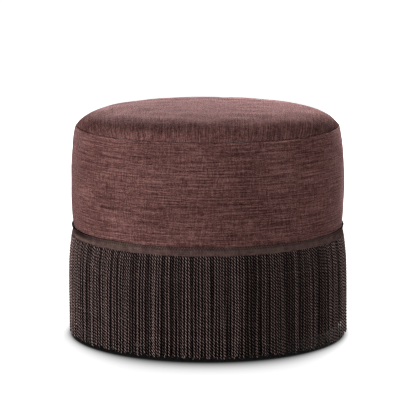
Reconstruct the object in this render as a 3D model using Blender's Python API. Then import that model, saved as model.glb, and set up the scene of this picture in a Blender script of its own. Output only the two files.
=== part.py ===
"""Round drum ottoman with a bullion fringe, as an upholsterer would take it apart.

Metres, +Z up. The origin lies on the floor, under the middle of the stool.
Pieces that touch keep CLEARANCE between their meshes.
"""

import math

import bmesh
import bpy
import numpy as np
from mathutils import Matrix, Vector

# Shared
CLEARANCE = 0.0003
ROUND_SIDES = 48
SMOOTH_ANGLE = math.radians(40)

# Heights of the outside, stacked from the floor up
FRINGE_FLOOR_GAP = 0.0065
FRINGE_DROP = 0.1788
TAPE_HEIGHT = 0.0155
BAND_HEIGHT = 0.1782
EDGE_RISE = 0.0275
CROWN_RISE = 0.0045

# Radii of the outside
WALL_RADIUS = 0.2418
SEAM_INSET = 0.0066

# Swell of the side band and roundness of the crown's edge
BELLY = 0.0069
BELLY_SKEW = 1.3
BELLY_FULLNESS = 0.55
BELLY_LEVELS = (0.0, 0.06, 0.22, 0.50, 0.75, 0.90, 1.0)
DOME_ANGLES = (0.0, 0.86, 15.0, 30.0, 45.0, 60.0, 75.0, 90.0)
DOME_SQUARENESS = 0.25
DOME_SOFTNESS = 1.685

# Cover cloth
COVER_THICKNESS = 0.0012
SEAM_ALLOWANCE = 0.010
SEAM_SLOPE = math.radians(45)
HEM_WIDTH = 0.030
HEM_CORNER = 0.0015

# Padding
WADDING_THICKNESS = 0.008
SEAT_FOAM_THICKNESS = 0.050
SEAT_FOAM_SHOULDER = 0.010
SEAT_FOAM_CHAMFER = 0.003
SIDE_FOAM_THICKNESS = 0.0082
SIDE_FOAM_DROP = 0.002

# Frame
PANEL_THICKNESS = 0.003
PANEL_JOINT = 0.002
BASE_BOARD_THICKNESS = 0.018
TOP_BOARD_THICKNESS = 0.015
VENT_RADIUS = 0.010
VENT_CIRCLE = 0.110
VENT_COUNT = 4
VENT_SIDES = 16
UPRIGHT_COUNT = 6
UPRIGHT_WIDTH = 0.038
UPRIGHT_DEPTH = 0.022

# Countersunk board screws
SCREW_SIDES = 8
SCREW_SHANK_RADIUS = 0.002
SCREW_HEAD_RADIUS = 0.0045
SCREW_HEAD_HEIGHT = 0.003
SCREW_POINT = 0.004
SCREW_LENGTH = 0.045

# Feet and what lies under the base board
FOOT_COUNT = 4
FOOT_HEIGHT = 0.025
FOOT_TOP_RADIUS = 0.021
FOOT_BOTTOM_RADIUS = 0.018
FOOT_CORNER = 0.002
FOOT_MARGIN = 0.0095
FOOT_SIDES = 16
FOOT_RECESS_RADIUS = 0.0062
FOOT_RECESS_DEPTH = 0.012
FOOT_SCREW_HEAD_RADIUS = 0.0048
FOOT_SCREW_HEAD_HEIGHT = 0.0026
FOOT_SCREW_BITE = 0.014
DUST_COVER_THICKNESS = 0.0008
DUST_COVER_MARGIN = 0.006
DUST_COVER_STEP = 0.006
DUST_COVER_SLACK = 0.002

# Heading tape and the web of the fringe behind it
TAPE_THICKNESS = 0.0012
TAPE_ROLL = 0.0006
TAPE_ROLL_HEIGHT = 0.0030
TAPE_JOINT = 0.0008
WEB_THICKNESS = 0.0008
WEB_MARGIN = 0.0035

# Cords: a bulge just under the tape, then a nearly straight fall
FRINGE_LENGTHS = 12
CORDS_PER_LENGTH = 26
CORD_DEPTH = 0.0046
CORD_GAP = 0.0006
CORD_STAGGER = 0.0008
CORD_UNEVENNESS = 0.0015
CORD_RHYTHM = 2.4
KNEE_DROP = 0.024
KNEE_STANDOFF = 0.0020
END_STANDOFF = 0.0051

# Heights that follow from the sizes above
TAPE_BOTTOM = FRINGE_FLOOR_GAP + FRINGE_DROP
TAPE_TOP = TAPE_BOTTOM + TAPE_HEIGHT
SEAM_HEIGHT = TAPE_TOP + BAND_HEIGHT
COVER_RIM = SEAM_HEIGHT + CLEARANCE / 2
WADDING_INSET = COVER_THICKNESS + CLEARANCE
FOAM_INSET = WADDING_INSET + WADDING_THICKNESS + CLEARANCE
CROWN_FOAM_BOTTOM = COVER_RIM - FOAM_INSET + SEAT_FOAM_SHOULDER
SEAT_FOAM_TOP = CROWN_FOAM_BOTTOM - CLEARANCE
SEAT_FOAM_BOTTOM = SEAT_FOAM_TOP - SEAT_FOAM_THICKNESS
TOP_BOARD_TOP = SEAT_FOAM_BOTTOM - CLEARANCE
TOP_BOARD_BOTTOM = TOP_BOARD_TOP - TOP_BOARD_THICKNESS
DUST_COVER_TOP = FOOT_HEIGHT + CLEARANCE + DUST_COVER_THICKNESS
BASE_BOARD_BOTTOM = DUST_COVER_TOP + CLEARANCE
BASE_BOARD_TOP = BASE_BOARD_BOTTOM + BASE_BOARD_THICKNESS
HEM_TOP = BASE_BOARD_BOTTOM - CLEARANCE
HEM_BOTTOM = HEM_TOP - COVER_THICKNESS
UPRIGHT_BOTTOM = BASE_BOARD_TOP + CLEARANCE
UPRIGHT_TOP = TOP_BOARD_BOTTOM - CLEARANCE

# Radii that follow from the sizes above
SEAM_RADIUS = WALL_RADIUS - SEAM_INSET
PANEL_RADIUS = WALL_RADIUS - COVER_THICKNESS - SIDE_FOAM_THICKNESS - 2 * CLEARANCE
BOARD_RADIUS = PANEL_RADIUS - PANEL_THICKNESS - CLEARANCE
BOARD_FLAT_RADIUS = BOARD_RADIUS * math.cos(math.pi / ROUND_SIDES)
UPRIGHT_FACE = math.sqrt(BOARD_FLAT_RADIUS**2 - (UPRIGHT_WIDTH / 2) ** 2)
UPRIGHT_CIRCLE = UPRIGHT_FACE - UPRIGHT_DEPTH / 2
HEM_INNER_RADIUS = BOARD_RADIUS - HEM_WIDTH
DUST_STEP_OUTER = HEM_INNER_RADIUS - DUST_COVER_SLACK
DUST_STEP_INNER = DUST_STEP_OUTER - DUST_COVER_STEP
FOOT_CIRCLE = DUST_STEP_INNER - FOOT_MARGIN - FOOT_TOP_RADIUS
TAPE_INNER_RADIUS = WALL_RADIUS + WEB_THICKNESS + 2 * CLEARANCE
KNEE_RADIUS = WALL_RADIUS + KNEE_STANDOFF + CORD_STAGGER + CORD_DEPTH
END_RADIUS = WALL_RADIUS + END_STANDOFF + CORD_STAGGER + CORD_DEPTH
CORD_PITCH = math.tau / (FRINGE_LENGTHS * CORDS_PER_LENGTH)

# Places of what repeats
UPRIGHT_ANGLES = [math.tau * (i + 0.5) / UPRIGHT_COUNT for i in range(UPRIGHT_COUNT)]
FOOT_ANGLES = [math.tau * (i + 0.5) / FOOT_COUNT for i in range(FOOT_COUNT)]

# The two sewn plies of the seam lie side by side and point inward and down
SEAM_RUN = Vector((-math.cos(SEAM_SLOPE), -math.sin(SEAM_SLOPE)))
SEAM_UPWARD = Vector((-math.sin(SEAM_SLOPE), math.cos(SEAM_SLOPE)))


# Scene and materials


def clear_scene():
    """Removes whatever the file starts with."""
    for item in list(bpy.data.objects):
        bpy.data.objects.remove(item, do_unlink=True)


def material(name, color, roughness, metallic=0.0):
    """A plain Principled material, made once per name."""
    found = bpy.data.materials.get(name)
    if found:
        return found
    made = bpy.data.materials.new(name)
    made.use_nodes = True
    shader = made.node_tree.nodes["Principled BSDF"]
    shader.inputs["Base Color"].default_value = (*color, 1.0)
    shader.inputs["Roughness"].default_value = roughness
    shader.inputs["Metallic"].default_value = metallic
    made.diffuse_color = (*color, 1.0)
    return made


def chenille():
    return material("mauve_chenille", (0.165, 0.082, 0.076), 0.9)


def trim_yarn():
    return material("brown_trim_yarn", (0.075, 0.046, 0.043), 0.75)


def foam():
    return material("cream_foam", (0.80, 0.74, 0.56), 0.95)


def polyester():
    return material("white_wadding", (0.85, 0.85, 0.83), 0.95)


def plywood():
    return material("birch_plywood", (0.62, 0.45, 0.27), 0.7)


def pine():
    return material("sawn_pine", (0.68, 0.50, 0.30), 0.75)


def fibreboard():
    return material("brown_fibreboard", (0.33, 0.21, 0.12), 0.8)


def dust_cloth():
    return material("black_dust_cloth", (0.02, 0.02, 0.02), 0.95)


def foot_plastic():
    return material("black_foot_plastic", (0.025, 0.025, 0.025), 0.45)


def zinc():
    return material("zinc_plated_steel", (0.62, 0.60, 0.52), 0.35, 1.0)


# Shape helpers


def node_from_bmesh(name, mesh_data, look):
    """Turns a bmesh into a named object with smooth round faces and sharp corners."""
    bmesh.ops.recalc_face_normals(mesh_data, faces=mesh_data.faces)
    mesh = bpy.data.meshes.new(name)
    mesh_data.to_mesh(mesh)
    mesh_data.free()
    mesh.shade_smooth()
    mesh.set_sharp_from_angle(angle=SMOOTH_ANGLE)
    mesh.materials.append(look)
    made = bpy.data.objects.new(name, mesh)
    bpy.context.scene.collection.objects.link(made)
    return made


def spin_outline(mesh_data, outline, sides, closed):
    """Turns an outline of (radius, height) points once round the Z axis.

    A closed outline makes a ring. An open one starts and ends on the axis.
    """
    points = [mesh_data.verts.new((radius, 0.0, height)) for radius, height in outline]
    pairs = list(zip(points, points[1:]))
    if closed:
        pairs.append((points[-1], points[0]))
    edges = [mesh_data.edges.new(pair) for pair in pairs]
    bmesh.ops.spin(
        mesh_data,
        geom=points + edges,
        axis=(0.0, 0.0, 1.0),
        cent=(0.0, 0.0, 0.0),
        angle=math.tau,
        steps=sides,
        use_merge=True,
    )
    bmesh.ops.remove_doubles(mesh_data, verts=mesh_data.verts, dist=1e-6)


def turned(name, outline, look, closed=False, sides=ROUND_SIDES):
    """A turned piece, as one node."""
    mesh_data = bmesh.new()
    spin_outline(mesh_data, outline, sides, closed)
    return node_from_bmesh(name, mesh_data, look)


def turned_at(outline, sides, places):
    """One bmesh that holds a turned, axis-ended solid at each of several places."""
    group = bmesh.new()
    for place in places:
        single = bmesh.new()
        spin_outline(single, outline, sides, closed=False)
        bmesh.ops.recalc_face_normals(single, faces=single.faces)
        bmesh.ops.transform(single, matrix=place, verts=single.verts)
        copy = bpy.data.meshes.new("turned_copy")
        single.to_mesh(copy)
        single.free()
        group.from_mesh(copy)
        bpy.data.meshes.remove(copy)
    return group


def cut(target, cutter_mesh, name):
    """Cuts a bmesh's shape out of a node with an exact Boolean."""
    cutter = node_from_bmesh(name, cutter_mesh, target.data.materials[0])
    cutter.hide_render = True
    cutter.display_type = "WIRE"
    modifier = target.modifiers.new(name, "BOOLEAN")
    modifier.operation = "DIFFERENCE"
    modifier.solver = "EXACT"
    modifier.object = cutter


def on_circle(radius, angle, height=0.0):
    """A move to a place on a circle round the Z axis, turned to face outward there."""
    return Matrix.Rotation(angle, 4, "Z") @ Matrix.Translation((radius, 0.0, height))


def slit(width, wall, radius, bottom, top):
    """A thin upright blade across the wall of a ring, at the back of the stool."""
    blade = bmesh.new()
    bmesh.ops.create_cube(blade, size=1.0)
    size = Vector((width, 6 * wall, top - bottom + 4 * CLEARANCE))
    bmesh.ops.scale(blade, vec=size, verts=blade.verts)
    middle = Vector((0.0, radius, (bottom + top) / 2))
    bmesh.ops.translate(blade, vec=middle, verts=blade.verts)
    return blade


# Outlines that neighbouring pieces share


def cover_radius(share):
    """Outer radius of the side band, at a share of the way from tape top to seam.

    A straight line between the two, swollen by a skewed sine arch.
    """
    arch = max(math.sin(math.pi * share**BELLY_SKEW), 0.0) ** BELLY_FULLNESS
    return WALL_RADIUS + (SEAM_RADIUS - WALL_RADIUS) * share + BELLY * arch


def side_levels():
    """Heights of the side band's rings, from the hem's corner to the seam."""
    rise = SEAM_HEIGHT - CLEARANCE / 2 - TAPE_TOP
    return [HEM_BOTTOM + HEM_CORNER] + [TAPE_TOP + share * rise for share in BELLY_LEVELS]


def side_line(inset):
    """The side band's outline from the hem up, moved inward by an inset."""
    radii = [WALL_RADIUS] + [cover_radius(share) for share in BELLY_LEVELS]
    return [(radius - inset, height) for radius, height in zip(radii, side_levels())]


def radius_at(line, height):
    """Radius on a rising outline at a height, by straight lines between its points."""
    radii, heights = zip(*line)
    return float(np.interp(height, heights, radii))


def dome_line(inset):
    """The crown's outline from the axis out to its rim, moved in and down by an inset.

    A squared dome whose edge falls by EDGE_RISE, with a low crown of CROWN_RISE on top.
    """
    radius = SEAM_RADIUS - inset
    line = []
    for degrees in DOME_ANGLES:
        angle = math.radians(degrees)
        share = math.sin(angle) ** DOME_SQUARENESS
        edge = EDGE_RISE * max(math.cos(angle), 0.0) ** DOME_SOFTNESS
        height = COVER_RIM - inset + edge + CROWN_RISE * (1 - share**2)
        line.append((radius * share, height))
    return line


def stop_at_line(line, corner, normal):
    """Keeps an outline's points up to where it crosses the straight line through corner."""

    def ahead(point):
        return (Vector(point) - corner).dot(normal)

    kept = []
    for point in line:
        if ahead(point) <= 0:
            before = kept[-1]
            share = ahead(before) / (ahead(before) - ahead(point))
            kept.append(tuple(Vector(before).lerp(Vector(point), share)))
            break
        kept.append(point)
    return kept


def stop_above_height(line, height):
    """Keeps the points of a falling line above a height, and ends it there."""
    kept = [point for point in line if point[1] > height]
    radii, heights = zip(*reversed(line))
    return kept + [(float(np.interp(height, heights, radii)), height)]


# Cover


def make_cover_top():
    """Top panel: dome, then the seam allowance turned in and down."""
    outer = dome_line(0.0)
    rim = Vector(outer[-1])
    allowance_end = rim + SEAM_RUN * SEAM_ALLOWANCE
    inner_corner = rim + SEAM_UPWARD * COVER_THICKNESS
    inner = stop_at_line(dome_line(COVER_THICKNESS), inner_corner, SEAM_UPWARD)
    outline = [
        *outer,
        tuple(allowance_end),
        tuple(allowance_end + SEAM_UPWARD * COVER_THICKNESS),
        *reversed(inner),
    ]
    turned("cover_top", outline, chenille())


def make_cover_side():
    """Side band: hem under the board, wall, belly, then the turned-in allowance."""
    outer = side_line(0.0)
    seam = Vector(outer[-1])
    allowance_end = seam + SEAM_RUN * SEAM_ALLOWANCE
    under = seam - SEAM_UPWARD * COVER_THICKNESS
    inner = stop_at_line(side_line(COVER_THICKNESS)[1:], under, -SEAM_UPWARD)
    outline = [
        (HEM_INNER_RADIUS, HEM_BOTTOM),
        (WALL_RADIUS - HEM_CORNER, HEM_BOTTOM),
        *outer,
        tuple(allowance_end),
        tuple(allowance_end - SEAM_UPWARD * COVER_THICKNESS),
        *reversed(inner),
        (WALL_RADIUS - COVER_THICKNESS, HEM_TOP),
        (HEM_INNER_RADIUS, HEM_TOP),
    ]
    turned("cover_side", outline, chenille(), closed=True)


# Padding


def make_seat_wadding():
    """Wadding: a thick dome shell that ends on the seam allowance."""
    rest = Vector((SEAM_RADIUS, COVER_RIM)) + SEAM_UPWARD * WADDING_INSET
    outer = stop_at_line(dome_line(WADDING_INSET), rest, SEAM_UPWARD)
    inner = stop_at_line(dome_line(WADDING_INSET + WADDING_THICKNESS), rest, SEAM_UPWARD)
    turned("seat_wadding", [*outer, *reversed(inner)], polyester())


def make_crown_foam():
    """Soft foam: the part of the crown above the firm block."""
    dome = stop_above_height(dome_line(FOAM_INSET), CROWN_FOAM_BOTTOM)
    turned("crown_foam", [*dome, (0.0, CROWN_FOAM_BOTTOM)], foam())


def make_seat_foam():
    """Firm block: as wide as the frame, with its upper edge trimmed to the crown."""
    dome = dome_line(FOAM_INSET)
    top_radius = stop_above_height(dome, SEAT_FOAM_TOP)[-1][0]
    edge = [point for point in reversed(dome) if point[1] < SEAT_FOAM_TOP]
    outline = [
        (0.0, SEAT_FOAM_BOTTOM),
        (PANEL_RADIUS, SEAT_FOAM_BOTTOM),
        (PANEL_RADIUS, dome[-1][1] - SEAT_FOAM_CHAMFER),
        *edge,
        (top_radius, SEAT_FOAM_TOP),
        (0.0, SEAT_FOAM_TOP),
    ]
    turned("seat_foam", outline, foam())


def make_side_foam():
    """Foam wrap: straight against the frame, swollen against the cover."""
    allowance_drop = (SEAM_ALLOWANCE + COVER_THICKNESS) * math.sin(SEAM_SLOPE)
    top = SEAM_HEIGHT - allowance_drop - SIDE_FOAM_DROP
    line = side_line(COVER_THICKNESS + CLEARANCE)
    swollen = [point for point in line[1:] if point[1] < top]
    inner_radius = PANEL_RADIUS + CLEARANCE
    outline = [
        (inner_radius, BASE_BOARD_BOTTOM),
        (WALL_RADIUS - COVER_THICKNESS - CLEARANCE, BASE_BOARD_BOTTOM),
        *swollen,
        (radius_at(line, top), top),
        (inner_radius, top),
    ]
    turned("side_foam", outline, foam(), closed=True)


# Frame


def disc_outline(radius, bottom, top):
    return [(0.0, bottom), (radius, bottom), (radius, top), (0.0, top)]


def countersunk_hole(depth):
    """A screw's own outline, wider all round by CLEARANCE, mouth down at height 0."""
    head = SCREW_HEAD_RADIUS + CLEARANCE
    shank = SCREW_SHANK_RADIUS + CLEARANCE
    mouth = 2 * CLEARANCE
    return [
        (0.0, -mouth),
        (head, -mouth),
        (head, 0.0),
        (shank, SCREW_HEAD_HEIGHT + CLEARANCE),
        (shank, depth),
        (0.0, depth),
    ]


def board_screw_places(face_height, upward):
    """Where the screws enter a board, one in line with the middle of each upright."""
    turn = Matrix() if upward else Matrix.Rotation(math.pi, 4, "X")
    return [on_circle(UPRIGHT_CIRCLE, angle, face_height) @ turn for angle in UPRIGHT_ANGLES]


def make_base_board():
    board = turned(
        "base_board", disc_outline(BOARD_RADIUS, BASE_BOARD_BOTTOM, BASE_BOARD_TOP), plywood()
    )
    through = BASE_BOARD_THICKNESS + 2 * CLEARANCE
    places = board_screw_places(BASE_BOARD_BOTTOM, upward=True)
    cut(board, turned_at(countersunk_hole(through), SCREW_SIDES, places), "base_screw_holes")
    pilot = disc_outline(
        SCREW_SHANK_RADIUS + CLEARANCE, -2 * CLEARANCE, FOOT_SCREW_BITE + CLEARANCE
    )
    places = [on_circle(FOOT_CIRCLE, angle, BASE_BOARD_BOTTOM) for angle in FOOT_ANGLES]
    cut(board, turned_at(pilot, SCREW_SIDES, places), "foot_screw_holes")


def make_top_board():
    board = turned(
        "top_board", disc_outline(BOARD_RADIUS, TOP_BOARD_BOTTOM, TOP_BOARD_TOP), plywood()
    )
    through = TOP_BOARD_THICKNESS + 2 * CLEARANCE
    places = board_screw_places(TOP_BOARD_TOP, upward=False)
    cut(board, turned_at(countersunk_hole(through), SCREW_SIDES, places), "top_screw_holes")
    vent = disc_outline(VENT_RADIUS, -2 * CLEARANCE, through)
    angles = [math.tau * i / VENT_COUNT for i in range(VENT_COUNT)]
    places = [on_circle(VENT_CIRCLE, angle, TOP_BOARD_BOTTOM) for angle in angles]
    places.append(Matrix.Translation((0.0, 0.0, TOP_BOARD_BOTTOM)))
    cut(board, turned_at(vent, VENT_SIDES, places), "vent_holes")


def make_uprights():
    """Square-sawn posts, each with a pilot hole in both ends."""
    length = UPRIGHT_TOP - UPRIGHT_BOTTOM
    shank = SCREW_SHANK_RADIUS + CLEARANCE
    foot_bite = SCREW_LENGTH - BASE_BOARD_THICKNESS + CLEARANCE
    head_bite = SCREW_LENGTH - TOP_BOARD_THICKNESS + CLEARANCE
    for number, angle in enumerate(UPRIGHT_ANGLES, start=1):
        post = bmesh.new()
        bmesh.ops.create_cube(post, size=1.0)
        size = Vector((UPRIGHT_DEPTH, UPRIGHT_WIDTH, length))
        bmesh.ops.scale(post, vec=size, verts=post.verts)
        bmesh.ops.translate(post, vec=(0.0, 0.0, length / 2), verts=post.verts)
        place = on_circle(UPRIGHT_CIRCLE, angle, UPRIGHT_BOTTOM)
        bmesh.ops.transform(post, matrix=place, verts=post.verts)
        upright = node_from_bmesh(f"upright_{number}", post, pine())
        foot_hole = turned_at(disc_outline(shank, -CLEARANCE, foot_bite), SCREW_SIDES, [place])
        cut(upright, foot_hole, f"upright_{number}_foot_hole")
        head_place = on_circle(UPRIGHT_CIRCLE, angle, UPRIGHT_TOP)
        head_hole = disc_outline(shank, -head_bite, CLEARANCE)
        head_hole = turned_at(head_hole, SCREW_SIDES, [head_place])
        cut(upright, head_hole, f"upright_{number}_head_hole")


def make_board_screws():
    """Countersunk screws through each board into the ends of the uprights."""
    outline = [
        (0.0, 0.0),
        (SCREW_HEAD_RADIUS, 0.0),
        (SCREW_SHANK_RADIUS, SCREW_HEAD_HEIGHT),
        (SCREW_SHANK_RADIUS, SCREW_LENGTH - SCREW_POINT),
        (0.0, SCREW_LENGTH),
    ]
    base_places = board_screw_places(BASE_BOARD_BOTTOM, upward=True)
    top_places = board_screw_places(TOP_BOARD_TOP, upward=False)
    for board, places in (("base", base_places), ("top", top_places)):
        for number, place in enumerate(places, start=1):
            screw = turned(f"{board}_board_screw_{number}", outline, zinc(), sides=SCREW_SIDES)
            screw.matrix_world = place


def make_side_panel():
    """Fibreboard bent round boards and posts, its two ends butted at the back."""
    inner = PANEL_RADIUS - PANEL_THICKNESS
    outline = [
        (inner, BASE_BOARD_BOTTOM),
        (PANEL_RADIUS, BASE_BOARD_BOTTOM),
        (PANEL_RADIUS, TOP_BOARD_TOP),
        (inner, TOP_BOARD_TOP),
    ]
    panel = turned("side_panel", outline, fibreboard(), closed=True)
    blade = slit(PANEL_JOINT, PANEL_THICKNESS, inner, BASE_BOARD_BOTTOM, TOP_BOARD_TOP)
    cut(panel, blade, "side_panel_joint")


# Underside


def make_dust_cover():
    """Flat on the board in the middle, stepped down over the hem of the side band."""
    low = HEM_BOTTOM - CLEARANCE
    upper = [
        (0.0, DUST_COVER_TOP),
        (DUST_STEP_INNER, DUST_COVER_TOP),
        (DUST_STEP_OUTER, low),
        (BOARD_RADIUS - DUST_COVER_MARGIN, low),
    ]
    lower = [(radius, height - DUST_COVER_THICKNESS) for radius, height in reversed(upper)]
    cloth = turned("dust_cover", upper + lower, dust_cloth())
    pierced = disc_outline(
        SCREW_SHANK_RADIUS + CLEARANCE, -DUST_COVER_THICKNESS - CLEARANCE, CLEARANCE
    )
    places = [on_circle(FOOT_CIRCLE, angle, DUST_COVER_TOP) for angle in FOOT_ANGLES]
    cut(cloth, turned_at(pierced, SCREW_SIDES, places), "dust_cover_holes")


def make_feet():
    """Low tapered feet with a deep recess for the screw head."""
    bore = SCREW_SHANK_RADIUS + CLEARANCE
    outline = [
        (FOOT_RECESS_RADIUS, 0.0),
        (FOOT_BOTTOM_RADIUS - FOOT_CORNER, 0.0),
        (FOOT_BOTTOM_RADIUS, FOOT_CORNER),
        (FOOT_TOP_RADIUS, FOOT_HEIGHT),
        (bore, FOOT_HEIGHT),
        (bore, FOOT_RECESS_DEPTH),
        (FOOT_RECESS_RADIUS, FOOT_RECESS_DEPTH),
    ]
    for number, angle in enumerate(FOOT_ANGLES, start=1):
        foot = turned(f"foot_{number}", outline, foot_plastic(), closed=True, sides=FOOT_SIDES)
        foot.matrix_world = on_circle(FOOT_CIRCLE, angle)


def make_foot_screws():
    """Pan heads in the recesses, shanks through foot and dust cover into the board."""
    seat = FOOT_RECESS_DEPTH - CLEARANCE
    tip = BASE_BOARD_BOTTOM + FOOT_SCREW_BITE
    outline = [
        (0.0, seat - FOOT_SCREW_HEAD_HEIGHT),
        (FOOT_SCREW_HEAD_RADIUS, seat - FOOT_SCREW_HEAD_HEIGHT),
        (FOOT_SCREW_HEAD_RADIUS, seat),
        (SCREW_SHANK_RADIUS, seat),
        (SCREW_SHANK_RADIUS, tip - SCREW_POINT),
        (0.0, tip),
    ]
    for number, angle in enumerate(FOOT_ANGLES, start=1):
        screw = turned(f"foot_screw_{number}", outline, zinc(), sides=SCREW_SIDES)
        screw.matrix_world = on_circle(FOOT_CIRCLE, angle)


# Heading tape and fringe


def make_heading_tape():
    """Woven tape with a rolled upper edge, over the web of the fringe."""
    inner = TAPE_INNER_RADIUS
    face = inner + TAPE_THICKNESS
    outline = [
        (inner, TAPE_BOTTOM),
        (face, TAPE_BOTTOM),
        (face, TAPE_TOP - TAPE_ROLL_HEIGHT),
        (face + TAPE_ROLL, TAPE_TOP - TAPE_ROLL_HEIGHT / 2),
        (face, TAPE_TOP),
        (inner, TAPE_TOP),
    ]
    tape = turned("heading_tape", outline, trim_yarn(), closed=True)
    blade = slit(TAPE_JOINT, TAPE_THICKNESS, inner, TAPE_BOTTOM, TAPE_TOP)
    cut(tape, blade, "heading_tape_joint")


def facet_share(angle):
    """How far out a round piece's flat sides lie at an angle, as a share of its radius."""
    half_side = math.pi / ROUND_SIDES
    return math.cos(half_side) / math.cos(angle % (2 * half_side) - half_side)


def cord_section(angle, outer_radius, height):
    """The corners of one cord at a height: near inner, near outer, far outer, far inner."""
    inner_radius = outer_radius - CORD_DEPTH
    half = (inner_radius * CORD_PITCH - CORD_GAP) / 2
    turn = Matrix.Rotation(angle, 3, "Z")
    corners = (
        (inner_radius, -half),
        (outer_radius, -half),
        (outer_radius, half),
        (inner_radius, half),
    )
    return [turn @ Vector((out, side, height)) for out, side in corners]


def hang_cord(fringe, corners, sections):
    """Draws one cord down from four corners of the web and closes its lower end."""
    for section in sections:
        lower = [fringe.verts.new(point) for point in section]
        for i in range(4):
            fringe.faces.new((corners[i], corners[i - 1], lower[i - 1], lower[i]))
        corners = lower
    fringe.faces.new(corners)


def make_fringe_length(number):
    """One length of web, with a cord drawn down from each cell of its lower edge."""
    fringe = bmesh.new()
    inner = WALL_RADIUS + CLEARANCE
    outer = inner + WEB_THICKNESS
    web_top = TAPE_TOP - WEB_MARGIN
    corners = ((inner, TAPE_BOTTOM), (outer, TAPE_BOTTOM), (outer, web_top), (inner, web_top))
    gap = CLEARANCE / inner
    start = (number - 1) * CORDS_PER_LENGTH * CORD_PITCH + gap / 2
    step = CORD_PITCH - gap / CORDS_PER_LENGTH
    rows = []
    for i in range(CORDS_PER_LENGTH + 1):
        angle = start + i * step
        turn = Matrix.Rotation(angle, 3, "Z") @ Matrix.Diagonal((facet_share(angle), 1.0, 1.0))
        rows.append([fringe.verts.new(turn @ Vector((r, 0.0, z))) for r, z in corners])
    for i, (near, far) in enumerate(zip(rows, rows[1:])):
        for low, high in ((1, 2), (2, 3), (3, 0)):
            fringe.faces.new((near[low], near[high], far[high], far[low]))
        angle = start + (i + 0.5) * step
        set_back = CORD_STAGGER * (i % 2)
        end_height = FRINGE_FLOOR_GAP + CORD_UNEVENNESS * math.sin(CORD_RHYTHM * i) ** 2
        knee = cord_section(angle, KNEE_RADIUS - set_back, TAPE_BOTTOM - KNEE_DROP)
        end = cord_section(angle, END_RADIUS - set_back, end_height)
        hang_cord(fringe, (near[0], near[1], far[1], far[0]), (knee, end))
    fringe.faces.new(rows[0])
    fringe.faces.new(rows[-1])
    node_from_bmesh(f"fringe_{number}", fringe, trim_yarn())


clear_scene()
make_cover_top()
make_cover_side()
make_seat_wadding()
make_crown_foam()
make_seat_foam()
make_side_foam()
make_base_board()
make_top_board()
make_uprights()
make_board_screws()
make_side_panel()
make_dust_cover()
make_feet()
make_foot_screws()
make_heading_tape()
for fringe_number in range(1, FRINGE_LENGTHS + 1):
    make_fringe_length(fringe_number)
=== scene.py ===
import bpy
import numpy as np
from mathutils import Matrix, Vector


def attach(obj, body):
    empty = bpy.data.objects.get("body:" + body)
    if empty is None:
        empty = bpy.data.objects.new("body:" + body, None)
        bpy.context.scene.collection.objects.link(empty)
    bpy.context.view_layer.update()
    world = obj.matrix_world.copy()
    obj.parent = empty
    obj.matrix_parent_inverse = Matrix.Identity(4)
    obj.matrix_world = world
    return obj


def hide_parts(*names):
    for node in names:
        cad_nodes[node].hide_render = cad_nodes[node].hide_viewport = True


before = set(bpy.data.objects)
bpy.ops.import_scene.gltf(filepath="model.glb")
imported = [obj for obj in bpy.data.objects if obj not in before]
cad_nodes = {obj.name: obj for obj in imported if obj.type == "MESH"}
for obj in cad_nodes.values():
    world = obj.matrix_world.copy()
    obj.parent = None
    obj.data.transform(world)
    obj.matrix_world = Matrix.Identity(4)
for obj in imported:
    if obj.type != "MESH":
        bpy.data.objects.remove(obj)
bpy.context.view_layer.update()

# Base board and top board: discs of birch plywood that carry the posts between them.
# Sawn round, so the plies show as stripes on the edge; the top board is bored for air.
PLY_PALE = (0.60, 0.43, 0.25, 1.0)
PLY_DARK = (0.38, 0.24, 0.12, 1.0)
PLY_THICKNESS = 0.0015
SURFACE = ("Color", "Height", "Roughness")
ORIGIN = (0.0, 0.0, 0.0)


def add_node(tree, kind, inputs=(), **settings):
    """Adds one shader node: settings are its options, inputs its sockets' values or feeds."""
    made = tree.nodes.new(kind)
    made.location = (190 * (len(tree.nodes) % 10), -300 * (len(tree.nodes) // 10))
    for name, value in settings.items():
        setattr(made, name, value)
    for socket, value in dict(inputs).items():
        if isinstance(value, bpy.types.NodeSocket):
            tree.links.new(value, made.inputs[socket])
        else:
            made.inputs[socket].default_value = value
    return made


def worked_out(tree, operation, *values):
    """A number worked out from one, two or three others."""
    return add_node(tree, "ShaderNodeMath", enumerate(values), operation=operation).outputs[0]


def spread(tree, value, low, high, start=0.0, end=1.0):
    """A number spread from low..high over start..end, and held beyond both ends."""
    inputs = {"Value": value, "From Min": low, "From Max": high, "To Min": start, "To Max": end}
    return add_node(tree, "ShaderNodeMapRange", inputs).outputs["Result"]


def mixed(tree, share, first, second, how="MIX"):
    """The colour that lies a share of the way from the first to the second."""
    inputs = {0: share, 6: first, 7: second}
    made = add_node(tree, "ShaderNodeMix", inputs, data_type="RGBA", blend_type=how)
    return made.outputs[2]


def speckle(tree, place, waves, detail=2.0):
    """Noise about 0.5 with so many waves a metre in each direction."""
    scaled = add_node(tree, "ShaderNodeVectorMath", {0: place, 1: waves}, operation="MULTIPLY")
    inputs = {"Vector": scaled.outputs[0], "Scale": 1.0, "Detail": detail, "Roughness": 0.6}
    return add_node(tree, "ShaderNodeTexNoise", inputs).outputs["Fac"]


def new_group(name, results, **inputs):
    """An empty shader node group with named sockets; gives it, its inputs and its outputs.

    An input is a number, a place or a colour, as its value has one, three or four figures.
    """
    group = bpy.data.node_groups.new(name, "ShaderNodeTree")
    for label, value in inputs.items():
        kind = {1: "NodeSocketFloat", 3: "NodeSocketVector", 4: "NodeSocketColor"}[np.size(value)]
        socket = group.interface.new_socket(label, in_out="INPUT", socket_type=kind)
        socket.default_value = value
    for label in results:
        kind = "NodeSocketColor" if label == "Color" else "NodeSocketFloat"
        group.interface.new_socket(label, in_out="OUTPUT", socket_type=kind)
    given = add_node(group, "NodeGroupInput").outputs
    return group, given, add_node(group, "NodeGroupOutput").inputs


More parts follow.
